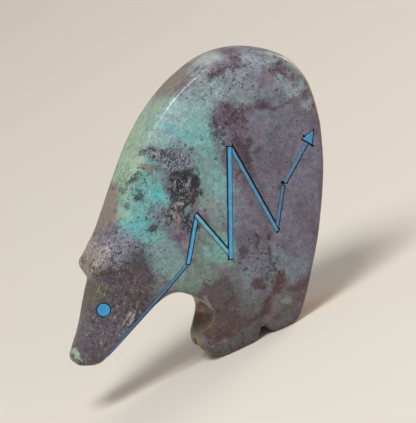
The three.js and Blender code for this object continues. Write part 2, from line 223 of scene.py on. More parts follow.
class CarvingSizes(PropertyGroup):
    """The sizes of the bear's surface."""
    grain_size: size_property("Grain", "Width of the cells that the stone's form is made of", 0.31, 0.3, 1)
    tool_height: size_property("Tool marks", "Height of the soft waves left by grinding", 0.07, 0, 0.5)
    tool_width: size_property("Tool mark width", "Width of the soft waves left by grinding", 6, 1, 20)
    glue_width: size_property("Glue width", "Width of the dark glue beside each inlay", 0.22, 0.05, 0.5)
    glue_below: size_property("Glue below", "Thickness of the glue under each inlay", 0.15, 0.05, 0.5)


class StudioSizes(PropertyGroup):
    """The camera, the lights and the floor."""
    azimuth: FloatProperty(name="Azimuth", description="Where the camera stands around the bear",
                           default=math.radians(-10.5), unit="ROTATION")
    elevation: FloatProperty(name="Elevation", description="How far the camera looks down",
                             default=math.radians(12), unit="ROTATION")
    roll: FloatProperty(name="Roll", description="How far the picture is turned, nose down",
                        default=math.radians(24.293), unit="ROTATION")
    view_height: FloatProperty(name="View height", description="Height of the picture at the bear",
                               default=84.6 * MM, unit="LENGTH")
    lens: FloatProperty(name="Lens", description="Focal length in millimetres", default=300, min=50, max=1000)
    floor_width: FloatProperty(name="Floor", description="Width of the floor", default=6, unit="LENGTH")
    floor_tone: colour_property("Floor tone", "Pale floor", 216, 212, 205)


# Soft forms of the stone seen from the side, in millimetres: the flank, a line from one place to another,
# its half width and its height. A crease is sharp along its line, and a swell is round.
FORMS = (
    # The ears and the neck
    (NEAR, (-18.9, 34.4), (-19.6, 31), 1.2, 0.55, "crease"),
    (NEAR, (-19.6, 31), (-18.2, 29.4), 1.1, 0.6, "crease"),
    (NEAR, (-20.8, 30.4), (-19.6, 27.8), 0.9, 0.4, "crease"),
    (FAR, (-18.9, 34), (-19.2, 29.8), 1.5, 0.45, "crease"),
    (NEAR, (-22, 31.4), (-21.6, 28.8), 1.8, -0.22, "swell"),
    (NEAR, (-17.2, 32.4), (-16.2, 27.4), 2.4, -0.3, "swell"),
    # The brow
    (NEAR, (-24.2, 27.3), (-17.2, 25), 1, -0.55, "crease"),
    (FAR, (-24, 27), (-17.6, 25.2), 1.1, -0.5, "crease"),
    (NEAR, (-23.6, 29.2), (-19.6, 27.9), 1.6, 0.2, "swell"),
    # The chin and the cheek
    (NEAR, (-22.3, 15.1), (-19.3, 16.8), 0.6, 0.34, "crease"),
    (NEAR, (-20.5, 14.8), (-17.3, 17.4), 0.6, 0.36, "crease"),
    (NEAR, (-19, 18.6), (-16, 20.4), 2.8, 0.15, "swell"),
    # The legs and the foot
    (NEAR, (3.9, 3.2), (7.6, 7.4), 0.9, -0.16, "crease"),
    (FAR, (3.9, 3.2), (8, 9), 1, -0.16, "crease"),
    (NEAR, (-4.6, 12.4), (-3.6, 8.6), 0.8, 0.22, "crease"),
    (NEAR, (-6.6, 6.2), (-7.2, 3.4), 0.8, -0.2, "crease"),
    # The chip beside the eye
    (NEAR, (-26.4, 19.5), (-26.1, 19.8), 0.5, -0.22, "swell"),
)

# Where the forehead, the buttocks and the crown are fuller, in millimetres: place, reach, height.
FULLER = (
    ((-30.2, 20.4), 8.5, 0.5),
    ((28, 26), 20, 0.24),
    ((27, 50), 7, 0.2),
)

# Places in the side view, in millimetres: colour, place, half sizes, turn, softness, strength.
# They run through the stone from flank to flank, and later ones lie over earlier ones.
FIELDS = (
    # The head, the legs and the crown
    ("brown", (-19, 21), (8, 6), 30, 1.6, 0.85),
    ("mauve", (-27, 16), (7.6, 4), 30, 1.4, 0.7),
    ("warm_grey", (4.6, 9), (9.6, 7.4), 0, 1.6, 0.7),
    ("brown", (-2.6, 11), (5.4, 5.8), 0, 1.4, 0.8),
    ("pale_blue", (3.8, 10.6), (1.9, 3.6), 0, 1.2, 0.4),
    ("mint", (5.2, 13.6), (0.9, 1.7), -15, 0.5, 0.6),
    ("rose", (6.8, 3.9), (2.2, 1.1), 45, 0.8, 0.3),
    ("slate", (20.5, 47.5), (11.5, 8), -30, 2.4, 0.85),
    ("slate", (8, 13), (5.4, 5.2), 30, 1.4, 0.6),
    ("mint", (21.5, 52.6), (4.8, 2.8), -30, 1.2, 0.8),
    ("mint", (13.2, 51.2), (5.2, 2.6), 15, 1.4, 0.75),
    ("mint", (19.2, 47), (3.6, 2.3), 0, 1.4, 0.4),
    ("pale_lilac", (21.8, 50.6), (8, 3.6), -30, 2, 0.66),
    ("pale_lilac", (13.6, 49.4), (4, 3), 0, 2, 0.6),
    ("mint", (29.4, 45.2), (2.2, 5.6), 15, 0.7, 0.75),
    ("mint", (26.8, 50), (2.6, 1.6), -45, 0.8, 0.6),
    ("lilac", (24.4, 48), (2.4, 1.8), 0, 1, 0.7),
    # The belly and the feet
    ("pale_blue", (13.9, 10), (3.4, 2.6), -15, 0.7, 0.8),
    ("pale_blue", (12.3, 14), (1.5, 1.8), 15, 0.7, 0.7),
    ("pale_blue", (5.6, 13.4), (2.4, 1.2), 30, 0.8, 0.6),
    ("foot_grey", (-2.6, 2), (7, 2.1), 0, 0.8, 0.8),
    ("pale_blue", (-0.8, 2.9), (3.2, 1.1), 15, 0.8, 0.4),
    ("foot_grey", (9.4, 2.8), (3.4, 1.9), 30, 0.8, 0.65),
    # The chest, the shoulder, the back and the flank
    ("chest_green", (-3.4, 18.8), (8.4, 2.9), 0, 0.9, 0.9),
    ("chest_green", (-6.6, 16.6), (2.4, 2.6), -30, 0.9, 0.85),
    ("chest_green", (1, 22.4), (4.4, 4.4), 0, 1, 0.8),
    ("turquoise", (2.6, 20.6), (3.4, 2.6), -15, 1.4, 0.6),
    ("grey_green", (-7.8, 24.4), (4.4, 5.4), 0, 1, 0.85),
    ("turquoise", (-8.2, 33.6), (6, 5.9), 0, 1, 0.95),
    ("turquoise", (-6, 41.6), (7.6, 5), 45, 1.2, 0.95),
    ("pale_turquoise", (10.4, 48.4), (5.8, 3.2), 15, 2.4, 0.6),
    ("pale_turquoise", (3.4, 46.4), (7.2, 5.8), 15, 1.8, 0.95),
    ("turquoise", (7.2, 41.4), (3.6, 5.6), -15, 1.6, 0.8),
    ("grey_green", (5.6, 33.2), (4.2, 8.6), 15, 1.2, 0.9),
    ("turquoise", (7.6, 33.4), (1.9, 6.6), 15, 1.2, 0.6),
    ("lilac", (9.8, 27), (2, 3.6), 15, 0.9, 0.8),
    ("pale_green", (-7.4, 44.6), (9, 3), 45, 1.2, 0.85),
    ("pale_green", (0.6, 51.8), (4.2, 2.2), 30, 1, 0.8),
    ("pale_green", (-12.2, 35.6), (1.5, 1.8), 0, 0.8, 0.6),
    ("deep_turquoise", (-11.2, 31.8), (2.9, 2.2), 0, 1.2, 0.62),
    ("deep_turquoise", (-4.6, 35.9), (1.3, 1.6), -15, 0.6, 0.85),
    ("deep_turquoise", (3.9, 46), (2.8, 1.1), -45, 1, 0.5),
    ("tan", (-16.4, 37.4), (5.6, 2.9), 45, 1, 0.75),
    # Around the dark patch
    ("lilac", (-5.8, 31.6), (2.4, 3.2), 15, 0.9, 0.7),
    ("slate", (0.6, 41), (4.6, 3.2), 0, 1.2, 0.8),
    ("pale_blue", (0.2, 41.2), (3.4, 2), -15, 0.8, 0.7),
    ("slate", (-1.4, 43.8), (3, 1.4), -45, 0.8, 0.75),
    ("slate", (-4.4, 26.4), (1.6, 4.2), 15, 0.8, 0.8),
    ("olive", (6.5, 37.2), (1.3, 2.6), 0, 0.7, 0.3),
    ("chest_green", (3.2, 31.6), (1.4, 3), 15, 0.8, 0.6),
    ("tan", (4.2, 28.6), (1.3, 1), 0, 0.5, 0.4),
    # The dark patch, its trail and its flecks
    ("marble", (0.6, 35), (3.3, 4), -30, 0.8, 1),
    ("marble", (-2.4, 31.4), (2.3, 3.4), -30, 0.8, 0.95),
    ("flecked", (1, 40.6), (3.2, 2.2), -15, 1.1, 0.75),
    ("flecked", (-2, 43.5), (2.4, 1.2), -45, 0.7, 0.95),
    ("marble", (-3.2, 45.2), (1.5, 0.7), 0, 0.6, 0.8),
    ("flecked", (-4, 31.8), (1.8, 2.6), -30, 0.9, 0.45),
    ("marble", (-1.4, 27.8), (1.4, 1.9), 30, 0.6, 0.85),
    ("black", (1.6, 37.2), (2.9, 1.3), -30, 0.6, 0.7),
    ("black", (2.8, 34.4), (0.9, 2.2), -30, 0.6, 0.75),
    ("black", (-1.5, 35.2), (0.9, 1.8), -30, 0.6, 0.75),
    ("black", (0, 31.6), (1.6, 0.9), 15, 0.5, 0.75),
    ("umber", (1.4, 33.2), (0.7, 1.3), -30, 0.5, 0.65),
    ("cream", (-1.5, 32.6), (0.8, 0.45), -15, 0.3, 0.8),
    ("pale_lilac", (1.9, 35.3), (0.3, 1), -30, 0.2, 0.75),
    ("pale_lilac", (-0.8, 36.2), (0.3, 1), -30, 0.2, 0.7),
    ("cream", (-2, 44.2), (0.8, 0.22), -30, 0.2, 0.7),
    ("rose", (-3, 30), (0.6, 1.3), -30, 0.4, 0.85),
    ("rose", (-4.1, 28), (0.5, 1), -30, 0.4, 0.7),
    ("grey_green", (-0.6, 30.6), (0.9, 0.5), 30, 0.3, 0.7),
    # Stains and spots of the shoulder
    ("plum", (-4.4, 26.4), (1, 1.1), 0, 0.4, 0.85),
    ("plum", (-4.6, 23.4), (0.5, 1.2), 0, 0.4, 0.6),
    ("clay", (-4.4, 41.8), (1.4, 1), -30, 0.5, 0.75),
    ("clay", (-8, 42.9), (0.6, 0.5), 0, 0.3, 0.65),
    ("dark_slate", (-7.6, 40.8), (1.5, 0.6), 15, 0.4, 0.85),
    ("dark_slate", (-10.6, 40), (0.7, 0.5), 0, 0.4, 0.7),
    ("dark_slate", (-8.5, 37.4), (0.9, 0.6), -30, 0.4, 0.8),
    ("dark_slate", (-8.3, 30.6), (1.2, 0.45), 15, 0.3, 0.9),
    ("dark_slate", (-11.4, 36.8), (0.7, 0.8), 0, 0.4, 0.6),
    # The plum patch and its trail
    ("plum", (13.2, 43.6), (1.7, 2.6), 30, 0.9, 0.8),
    ("plum", (15.9, 42.8), (1.8, 3.4), 15, 0.8, 0.95),
    ("plum", (15.3, 46.2), (1.7, 1), -30, 0.6, 0.9),
    ("plum", (14.6, 38.4), (1.1, 1.6), -15, 0.6, 0.85),
    ("dark_plum", (14.5, 35), (1, 3.2), 0, 0.5, 0.9),
    ("dark_plum", (16.2, 37.6), (0.9, 1.3), -30, 0.4, 0.7),
    ("rust", (12.5, 31), (0.5, 1), 0, 0.4, 0.8),
    ("umber", (11.7, 32.6), (0.9, 0.6), 15, 0.3, 0.95),
    ("umber", (16.4, 37.2), (0.4, 0.8), -15, 0.3, 0.9),
    ("dark_slate", (17, 35.3), (0.9, 0.4), 0, 0.3, 0.9),
    ("flecked", (11.4, 40.8), (1.4, 2.6), -15, 0.8, 0.65),
    # Its arm, and spots of the rump and the crown
    ("plum", (18.3, 43.7), (1.4, 0.7), -15, 0.4, 0.9),
    ("plum", (20, 43.3), (1.4, 0.3), -15, 0.3, 0.85),
    ("dark_plum", (22.4, 42.8), (1.4, 0.9), -15, 0.5, 0.9),
    ("plum", (21.1, 43.9), (0.5, 0.6), 15, 0.3, 0.8),
    ("plum", (26.9, 41.1), (2.6, 0.35), 0, 0.4, 0.8),
    ("plum", (30.6, 41), (1.3, 0.8), 30, 0.4, 0.85),
    ("plum", (16.6, 53.4), (2.4, 1.5), 15, 0.6, 0.9),
    ("plum", (20, 54), (1.8, 1.7), 0, 0.6, 0.9),
    ("plum", (19.4, 51.9), (0.35, 1), -15, 0.3, 0.8),
    ("plum", (29.4, 46.4), (1.1, 2.9), 30, 0.6, 0.95),
    ("plum", (28.3, 48.7), (1.5, 1), -30, 0.4, 0.8),
    ("rose", (25, 47.4), (1.5, 1.1), 0, 0.8, 0.4),
    ("plum", (26.5, 48.4), (0.6, 0.7), 0, 0.4, 0.85),
    ("plum", (24.6, 47.4), (1.6, 1), 15, 0.7, 0.4),
    # Spots of the belly and bands of the hind leg
    ("rust", (11.8, 26.4), (0.4, 0.8), -15, 0.3, 0.7),
    ("dark_slate", (17.9, 26.4), (0.8, 0.4), 30, 0.3, 0.8),
    ("dark_plum", (6.2, 18.4), (1, 1.5), -15, 0.3, 0.8),
    ("umber", (6.5, 10.8), (1.4, 1.5), 0, 0.3, 0.85),
    ("umber", (10.2, 9.1), (2.4, 1.2), 45, 0.4, 0.9),
    ("umber", (6.6, 6.2), (2.8, 0.7), 45, 0.4, 0.85),
    ("umber", (2.4, 4.7), (2.6, 0.6), 0, 0.5, 0.7),
    ("umber", (13.8, 6.7), (2.4, 0.8), 0, 0.4, 0.7),
    ("mint", (10.6, 5.1), (0.9, 0.9), 0, 0.4, 0.55),
    ("rust", (12.8, 4.5), (1.7, 1.1), 30, 0.6, 0.55),
    # The feet and the forelegs
    ("rust", (6.7, 3), (0.9, 0.8), 0, 0.4, 0.75),
    ("rust", (-4.1, 5.2), (3.9, 1.9), -15, 0.6, 0.85),
    ("rust", (-6.6, 6.2), (0.9, 1.5), 15, 0.5, 0.6),
    ("rose", (-4.3, 3.2), (0.8, 0.4), 0, 0.3, 0.8),
    ("brown", (-0.4, 4.7), (3.4, 0.6), 0, 0.6, 0.6),
    ("umber", (-3.2, 9.3), (0.5, 0.5), 0, 0.3, 0.9),
    ("dark_plum", (-0.7, 10.3), (0.65, 0.5), 0, 0.3, 0.9),
    ("dark_slate", (4, 9.7), (0.45, 0.4), 0, 0.3, 0.8),
    # Veins of the belly
    ("dark_plum", (12, 18.6), (0.28, 1.6), -15, 0.25, 0.8),
    ("dark_plum", (9.7, 18.4), (0.4, 1.3), -30, 0.3, 0.85),
    ("dark_plum", (10.9, 15.2), (0.35, 1.9), -15, 0.3, 0.85),
    ("dark_plum", (10.7, 12.2), (0.28, 1.5), 15, 0.25, 0.85),
    # The neck, the brow and the muzzle
    ("lilac", (-16.8, 28.6), (2.6, 2.6), 0, 1.2, 0.75),
    ("dark_slate", (-13.6, 25.6), (1.8, 3), 15, 1.2, 0.32),
    ("plum", (-15.6, 22.6), (2, 1.8), 0, 1, 0.4),
    ("olive", (-24.2, 23.6), (2.4, 2.6), 0, 1, 0.75),
    # Painted shade in the brow groove.
    ("umber", (-20.6, 26.4), (2.2, 0.5), -15, 0.5, 0.6),
    ("olive", (-28.8, 19.6), (3.4, 1.5), 45, 0.9, 0.7),
    # Tan of the stone along the forehead's edge, with a painted warm reflection there.
    ("tan", (-27.6, 23.4), (6.6, 0.9), 45, 0.8, 0.45),
    ("tan", (-22.4, 30.8), (3, 2.4), 30, 0.9, 0.55),
    # Painted shade: a darker muzzle tip, like the darkening toward the feet.
    ("umber", (-32, 13.4), (4.4, 3.2), 0, 1.6, 0.35),
    ("pale_green", (-32.2, 14.3), (0.6, 1.5), 15, 0.25, 0.9),
    # Pale patches and scratches of the head, with painted highlights on the chin ledges, the ear and the
    # brow's end
    # Pale scratches along the chin ledges, with painted highlights on the ledges.
    ("cream", (-20.8, 15.9), (1.9, 0.22), 30, 0.2, 0.8),
    ("cream", (-18.9, 16.1), (2.1, 0.25), 45, 0.2, 0.8),
    ("pale_lilac", (-16.6, 29.4), (3.2, 2.6), 30, 1.6, 0.6),
    ("pale_lilac", (-13.6, 30.6), (1.6, 2.8), 15, 1.2, 0.45),
    # The ear: pale stone with painted light on its raised bump, and a painted highlight line along its crest.
    ("bone", (-20.2, 30.6), (1.9, 3.4), -15, 1, 0.62),
    ("cream", (-19, 30.3), (1.3, 0.4), -45, 0.3, 0.5),
    # Painted highlight at the outer end of the brow.
    ("bone", (-23.8, 28.2), (1.6, 1), -30, 0.6, 0.45),
    ("dark_slate", (-13, 27.4), (2, 2.2), 0, 1.2, 0.25),
    # The nose, the lip and the chip beside the eye
    # Rust of the nose's edge, with a painted warm reflection there.
    ("rust", (-34, 13.6), (0.9, 1.6), 45, 0.4, 0.7),
    ("rust", (-26.6, 12.8), (2.8, 0.6), 15, 0.5, 0.7),
    ("rose", (-26.1, 19.5), (0.35, 0.45), 0, 0.2, 0.9),
)

# Places on the rounded edges, in millimetres, given in the same way but with three numbers to a place.
EDGES = (
    ("pale_green", (-4, 1, 43), (7, 7.2, 8), 0, 1.2, 0.85),
    ("tan", (-14, 2, 36.5), (5.5, 7.6, 5), 0, 1, 0.85),
    ("tan", (0.6, -1, 47.6), (1.3, 3.6, 1.4), 0, 0.6, 0.8),
    ("pale_green", (4.8, -3, 51), (3, 3.4, 2), 0, 0.7, 0.8),
    ("tan", (9.4, 0, 53.6), (5.4, 5.6, 2.8), 0, 1.6, 0.9),
    # The top edge: the stone's pale colour, brightened as painted light from above.
    ("frost", (16.8, -2, 55.2), (3.4, 5, 2.2), 0, 1.6, 0.85),
    ("mint", (30.4, -2, 47), (1.6, 5, 6), 0, 0.8, 0.6),
    ("plum", (21.2, -3, 55), (1.8, 3.4, 1.8), 0, 1, 0.9),
    ("rust", (-6, 1, 10.6), (3.6, 4.6, 5), 0, 0.9, 0.7),
    ("olive", (-5.2, -3.2, 9.6), (1.8, 2.4, 3.8), 0, 0.7, 0.8),
    # In the chest hollow: a painted warm reflection, then painted shade.
    ("amber", (-6.6, 1, 10.4), (3, 6, 4.8), 0, 0.8, 0.42),
    ("umber", (-6, 1, 9.8), (3.4, 6, 5.4), 0, 0.8, 0.3),
    # Painted highlights: on the near rim of the chest hollow, and on the top corner of the near toe.
    ("cream", (-4.7, -6.4, 10.8), (0.45, 1.6, 2.2), 0, 0.3, 0.45),
    ("cream", (-7.9, -2.6, 5.2), (1.2, 0.8, 1.6), 0, 0.4, 0.4),
    ("olive", (-9.4, 1, 4.6), (3.4, 7.4, 3.8), 0, 0.7, 0.9),
    # Painted warm reflection on the toe.
    ("amber", (-10.4, 0, 5.6), (1.8, 7.4, 3), 0, 0.6, 0.25),
    ("rose", (32, -4, 30), (1.4, 5, 15), 0, 0.8, 0.4),
)

# How far the channel of a bar lies off its inlay, in millimetres, so that the glue is thicker on one side.
GLUE_SHIFTS = {
    "jaw": (0.03, -0.03), "rise_1": (-0.04, 0.04), "fall_1": (0.11, 0.02), "rise_2": (-0.12, 0.05),
    "fall_2": (0.13, 0.02), "rise_3": (0.04, -0.02), "shaft": (0.06, -0.06), "arrowhead": (-0.06, -0.04),
}
THIN_GLUE = ("jaw", "rise_3", "shaft", "arrowhead")
THIN_SHARE = 0.6

# Cuts of the saw past the ends of the bars on the near flank: bar, start, end and width in millimetres.
SAW_CUTS = (
    ("left_fall_1", (3.1, 19.4), (3.7, 17.7), 0.5),
    ("left_fall_2", (14.2, 19.6), (14.3, 18.4), 0.45),
    ("left_jaw", (-5, 20.7), (-3.9, 21.5), 0.5),
    ("left_rise_1", (-0.3, 26.6), (0.3, 28.4), 0.4),
    ("left_shaft", (19, 27.3), (19.7, 26.9), 0.5),
    ("left_arrowhead", (26.9, 33.9), (27.5, 33.1), 0.35),
    ("left_arrowhead", (27.6, 31.4), (28.1, 30.9), 0.35),
)

# Where dark specks lie thick: place, half sizes, turn, softness, how thick.
SPECKLED = (
    # Around the dark patch and on the shoulder
    ((0.8, 41.2), (4.6, 2.8), 0, 1.2, 0.4),
    ((-2.6, 44.4), (2.6, 1.8), -30, 0.9, 0.4),
    ((-6, 31.6), (3.6, 3.6), 0, 1.4, 0.4),
    ((-8.2, 40), (3.6, 3.2), 15, 1.2, 0.45),
    # The flank, the crown and the rump
    ((11.4, 42.2), (1.3, 3.4), -15, 0.8, 0.4),
    ((13.6, 42.4), (3.4, 4.2), 0, 1.2, 0.45),
    ((17, 50.6), (7.4, 3.2), 0, 1.4, 0.38),
    ((25, 45.4), (5.6, 3.8), -30, 1.4, 0.25),
    ((22.6, 35), (5, 3.4), 15, 1.6, 0.25),
    # The belly, the head and the forefoot
    ((8.6, 15.4), (4.4, 5.4), 0, 1.4, 0.45),
    ((-20, 23.6), (11, 9), 45, 2, 0.5),
    ((-2, 3), (7.6, 2.6), 0, 1.2, 0.35),
)


class Wire:
    """One output of a node. Sums written with it add their Math nodes."""

    def __init__(self, finish, socket):
        self.finish = finish
        self.socket = socket

    def __add__(self, other):
        return self.finish.math("ADD", self, other)

    def __radd__(self, other):
        return self.finish.math("ADD", other, self)

    def __sub__(self, other):
        return self.finish.math("SUBTRACT", self, other)

    def __mul__(self, other):
        return self.finish.math("MULTIPLY", self, other)

    def __rmul__(self, other):
        return self.finish.math("MULTIPLY", other, self)


class Finish:
    """A material and the nodes that make it."""

    def __init__(self, name):
        self.material = bpy.data.materials.new(name)
        self.material.use_nodes = True
        self.tree = self.material.node_tree
        self.tree.nodes.clear()
        self.shader = self.tree.nodes.new("ShaderNodeBsdfPrincipled")
        output = self.tree.nodes.new("ShaderNodeOutputMaterial")
        self.tree.links.new(self.shader.outputs["BSDF"], output.inputs["Surface"])
        self.place = self.node("ShaderNodeTexCoord", output="Object")
        self.place = self.node("ShaderNodeMapping", values={"Vector": self.place, "Scale": (1 / MM,) * 3})

    def node(self, kind, settings=None, values=None, output=0):
        """Adds a node: its settings first, then the values or links of its sockets."""
        made = self.tree.nodes.new(kind)
        for name, value in (settings or {}).items():
            if name == "stops":
                set_stops(made.color_ramp, value)
            else:
                setattr(made, name, value)
        for name, value in (values or {}).items():
            self.fill(made.inputs[name], value)
        return Wire(self, made.outputs[output])

    def fill(self, socket, value):
        if isinstance(value, Wire):
            self.tree.links.new(value.socket, socket)
        elif hasattr(value, "__len__"):
            numbers = tuple(value)
            socket.default_value = numbers + (1,) if socket.type == "RGBA" and len(numbers) == 3 else numbers
        else:
            socket.default_value = value

    def surface(self, name, value):
        """Sets or links one input of the surface shader."""
        self.fill(self.shader.inputs[name], value)

    def bump(self, height, strength, distance):
        values = {"Height": height, "Strength": strength, "Distance": distance}
        self.surface("Normal", self.node("ShaderNodeBump", None, values, output="Normal"))

    def math(self, operation, first, second):
        return self.node("ShaderNodeMath", {"operation": operation}, {0: first, 1: second})

    def vector(self, operation, first, second):
        return self.node("ShaderNodeVectorMath", {"operation": operation}, {0: first, 1: second})

    def dot(self, first, second):
        return self.node("ShaderNodeVectorMath", {"operation": "DOT_PRODUCT"}, {0: first, 1: second},
                         output="Value")

    def part(self, vector, axis):
        return self.node("ShaderNodeSeparateXYZ", None, {0: vector}, output=axis)

    def mix(self, share, first, second, blend="MIX"):
        """One colour over another by a share from 0 to 1."""
        return self.node("ShaderNodeMix", {"data_type": "RGBA", "blend_type": blend},
                         {0: share, 6: first, 7: second}, output=2)

    def rise(self, value, low, high, bottom=0, top=1):
        """Rises smoothly from bottom to top as the value goes from low to high."""
        return self.node("ShaderNodeMapRange", {"interpolation_type": "SMOOTHSTEP"},
                         {"Value": value, "From Min": low, "From Max": high, "To Min": bottom, "To Max": top})

    def noise(self, place, scale, detail=2, roughness=0.5, output="Fac"):
        return self.node("ShaderNodeTexNoise", None,
                         {"Vector": place, "Scale": scale, "Detail": detail, "Roughness": roughness}, output)

    def shift(self, place, scale, reach, detail=2):
        """The place moved about by a noise, by up to half the reach each way."""
        wander = self.noise(place, scale, detail, output="Color")
        centred = self.vector("SUBTRACT", wander, (0.5, 0.5, 0.5))
        return self.vector("ADD", place, self.vector("MULTIPLY", centred, (reach,) * 3))

    def ramp(self, value, *stops):
        """Colours between stops, each a value and its colour."""
        return self.node("ShaderNodeValToRGB", {"stops": stops}, {"Fac": value}, output="Color")

    def shades(self, value, spread):
        """Grey shades about white, for a multiplied mottle, from a noise."""
        return self.ramp(value, (0.28, (1 - spread,) * 3), (0.5, (1,) * 3), (0.72, (1 + spread,) * 3))

    def turned(self, place, turn):
        """The place in axes that are turned in the side view, in degrees."""
        along = (math.cos(math.radians(turn)), 0, math.sin(math.radians(turn)))
        across = (-along[2], 0, along[0])
        parts = {number: self.dot(place, axis) for number, axis in enumerate((along, (0, 1, 0), across))}
        return self.node("ShaderNodeCombineXYZ", None, parts)

    def specks(self, place, scale, radius, amount):
        """Round specks in a share of the cells of a pattern."""
        cells = self.tree.nodes.new("ShaderNodeTexVoronoi")
        self.fill(cells.inputs["Vector"], place)
        self.fill(cells.inputs["Scale"], scale)
        chance = self.node("ShaderNodeSeparateColor", None, {0: Wire(self, cells.outputs["Color"])})
        near = self.rise(Wire(self, cells.outputs["Distance"]), radius, radius * SPECK_CORE)
        return near * self.rise(chance, amount, amount - SPECK_SPREAD)


def set_stops(ramp, stops):
    while len(ramp.elements) < len(stops):
        ramp.elements.new(1)
    for element, (position, colour) in zip(ramp.elements, stops):
        element.position = position
        element.color = tuple(colour) + (1,)


class StoneFinish(Finish):
    """The polished stone: crumbling fields of turquoise in lilac and brown, with a dark patch and specks."""

    def __init__(self, colours):
        super().__init__("Polished stone")
        self.colours = colours
        place = self.place
        self.bent = self.shift(place, 0.4, 1.8)
        self.crumble = ((self.noise(place, 0.55, 5, 0.68) - 0.5) * 8
                        + (self.noise(place, 2.4, 3, 0.6) - 0.5) * 3)
        turns = {row[3] for row in FIELDS} | {row[2] for row in SPECKLED} | {0, STREAK_TURN}
        self.places = {turn: self.turned(self.bent, turn) for turn in sorted(turns)}

        self.cloud = self.noise(self.bent, 0.2, 3)
        self.blots = self.noise(self.shift(place, 1.5, 0.8), 1.35, 4, 0.62)
        streaks = self.streaks((0.8, 1, 1.5), 1.9)
        plum = self.mix(self.rise(self.blots, 0.4, 0.62), colours.plum, colours.dark_plum)
        marble = self.ramp(streaks, (0.51, colours.black), (0.54, colours.dark_slate),
                           (0.575, colours.slate), (0.61, colours.pale_lilac))
        flecked = self.ramp(streaks, (0.44, colours.black), (0.475, colours.dark_slate),
                            (0.51, colours.pale_blue), (0.56, colours.pale_lilac))
        self.tones = {"plum": plum, "marble": marble, "flecked": flecked}

        colour = self.mix(self.rise(self.cloud, 0.38, 0.62), colours.mauve, colours.lilac)
        colour = self.patches(colour, FIELDS)
        # Painted shade toward the feet, and a painted warm reflection on the edges.
        colour = self.worn(colour)
        colour = self.patches(colour, EDGES)
        colour = self.mottled(colour)
        self.polish(self.speckled(colour))

    def streaks(self, stretch, scale):
        return self.noise(self.vector("MULTIPLY", self.places[STREAK_TURN], stretch), scale, 4, 0.7)

    def patch(self, at, half, turn, softness, strength):
        """A patch with crumbling edges: its strength inside, 0 outside.

        Where at has only two numbers the patch runs through the stone from flank to flank."""
        angle = math.radians(turn)
        centre = [at[0] * math.cos(angle) + at[-1] * math.sin(angle), 0,
                  at[-1] * math.cos(angle) - at[0] * math.sin(angle)]
        scale = [1 / half[0], 0, 1 / half[-1]]
        if len(at) == 3:
            centre[1] = at[1]
            scale[1] = 1 / half[1]
        offset = [-number * factor for number, factor in zip(centre, scale)]
        local = self.node("ShaderNodeVectorMath", {"operation": "MULTIPLY_ADD"},
                          {0: self.places[turn], 1: scale, 2: offset})
        reach = self.node("ShaderNodeVectorMath", {"operation": "LENGTH"}, {0: local}, output="Value")
        width = min(half)
        share = min(CRUMBLE_SHARE, CRUMBLE_WIDTH / width)
        edge = self.node("ShaderNodeMath", {"operation": "MULTIPLY_ADD"},
                         {0: self.crumble, 1: -share, 2: reach})
        soft = min(SOFTEST_SHARE, softness / width)
        return self.rise(edge, 1 + soft, 1 - soft, 0, strength)

    def patches(self, colour, rows):
        """Lays patches over a colour, one after the other."""
        for tone, at, half, turn, softness, strength in rows:
            share = self.patch(at, half, turn, softness, strength)
            colour = self.mix(share, colour, self.tones.get(tone) or getattr(self.colours, tone))
        return colour

    def worn(self, colour):
        """Paints shade onto the stone toward its feet, and a painted warm reflection onto its rounded edges.
        """
        normal = self.node("ShaderNodeTexCoord", output="Normal")
        sideways = self.part(normal, "Y")
        flank = self.node("ShaderNodeMath", {"operation": "ABSOLUTE"}, {0: sideways})
        under = self.dot(normal, (0.7, 0, -0.7))
        height = self.part(self.bent, "Z")
        # Painted shade: the stone is darkened toward its feet, where less light falls.
        colour = self.mix(self.rise(height, 13, 0, 0, 0.42), colour, self.colours.umber)
        # Painted warm reflection: a warm tint on the edges that face down or toward the rump, and on those
        # that turn toward the far flank.
        rim = self.math("MAXIMUM", self.rise(under, 0, 0.5) * self.rise(flank, 0.74, 0.52),
                        self.rise(sideways, -0.02, 0.14) * self.rise(sideways, 0.55, 0.3, 0, 0.65))
        share = rim * (0.55 + 0.35 * self.rise(self.cloud, 0.35, 0.65))
        return self.mix(share, colour, self.colours.amber)

    def mottled(self, colour):
        """Mottles and scratches the stone, most of all on the head."""
        self.mottle = self.noise(self.shift(self.place, 0.9, 1.2), 0.8, 5, 0.62)
        self.grain = self.noise(self.place, 3.4, 4, 0.7)
        tint = self.ramp(self.noise(self.bent, 0.5, 4, 0.6), (0.34, (0.93, 1.04, 0.95)), (0.5, (1, 1, 1)),
                         (0.66, (1.07, 0.96, 1)))
        for shade in (self.shades(self.mottle, 0.3), self.shades(self.grain, 0.32), tint):
            colour = self.mix(1, colour, shade, blend="MULTIPLY")
        self.head = self.rise(self.part(self.bent, "X"), -12.5, -16.5)
        self.rough = self.noise(self.shift(self.place, 1.2, 0.8), 1.9, 5, 0.75)
        colour = self.mix(self.head, colour, self.shades(self.rough, 0.78), blend="MULTIPLY")
        scratches = self.streaks((0.6, 1, 1.6), 1.5)
        wear = ((0.57, 0.68, 0.08, 0.5, self.colours.cream), (0.4, 0.32, 0.1, 0.3, self.colours.umber))
        for low, high, share, more, tone in wear:
            colour = self.mix(self.rise(scratches, low, high) * (share + more * self.head), colour, tone)
        return colour

